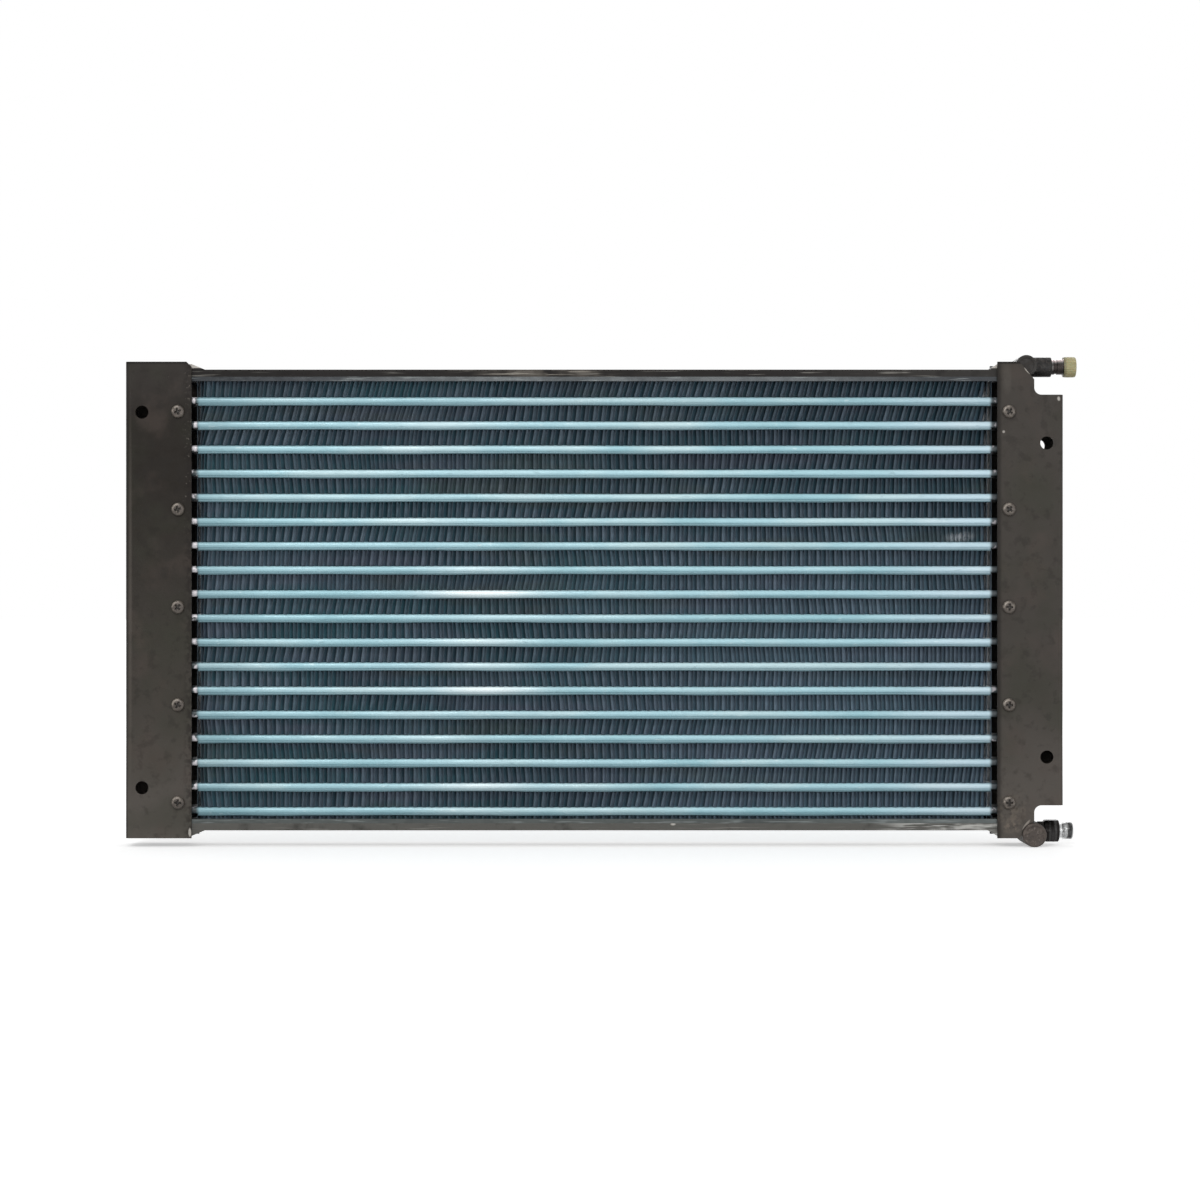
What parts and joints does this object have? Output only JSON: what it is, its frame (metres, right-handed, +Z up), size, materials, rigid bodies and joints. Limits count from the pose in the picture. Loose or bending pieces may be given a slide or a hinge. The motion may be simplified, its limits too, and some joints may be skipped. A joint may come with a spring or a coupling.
{
  "type": "air conditioning condenser",
  "caption": "Serpentine flat-tube condenser with folded fins between channel brackets, with bolt holes and both refrigerant ports on the right.",
  "frame": {"origin": "midway between the two bolt holes of the left bracket, on its front face", "axes": "+X across the core towards the ports, +Y from the front face to the back, +Z up"},
  "size_m": [0.8691, 0.0638, 0.4485],
  "materials": {
    "bracket_paint": "satin",
    "rail_paint": "satin",
    "core_plate": "satin, dusty",
    "tube": "satin",
    "fin": "matte, coated",
    "port_paint": "matte",
    "bare_fitting": "machined",
    "cap_plastic": "moulded",
    "screw_steel": "worn"
  },
  "bodies": {
    "root": {"bottom_core_plate": "core_plate", "bottom_rail": "rail_paint", "bracket_screws": "screw_steel", "fin_row_01": "fin", "fin_row_02": "fin", "fin_row_03": "fin", "fin_row_04": "fin", "fin_row_05": "fin", "fin_row_06": "fin", "fin_row_07": "fin", "fin_row_08": "fin", "fin_row_09": "fin", "fin_row_10": "fin", "fin_row_11": "fin", "fin_row_12": "fin", "fin_row_13": "fin", "fin_row_14": "fin", "fin_row_15": "fin", "fin_row_16": "fin", "fin_row_17": "fin", "fin_row_18": "fin", "fin_row_19": "fin", "inlet_cap": "cap_plastic", "inlet_fitting": "bare_fitting", "inlet_header": "bracket_paint", "inlet_pipe": "port_paint", "left_bracket": "bracket_paint", "outlet_fitting": "bare_fitting", "outlet_header": "bracket_paint", "outlet_pipe": "port_paint", "right_bracket": "bracket_paint", "screw_nuts": "screw_steel", "serpentine_tube": "tube", "top_core_plate": "core_plate", "top_rail": "rail_paint"}
  },
  "joints": []
}
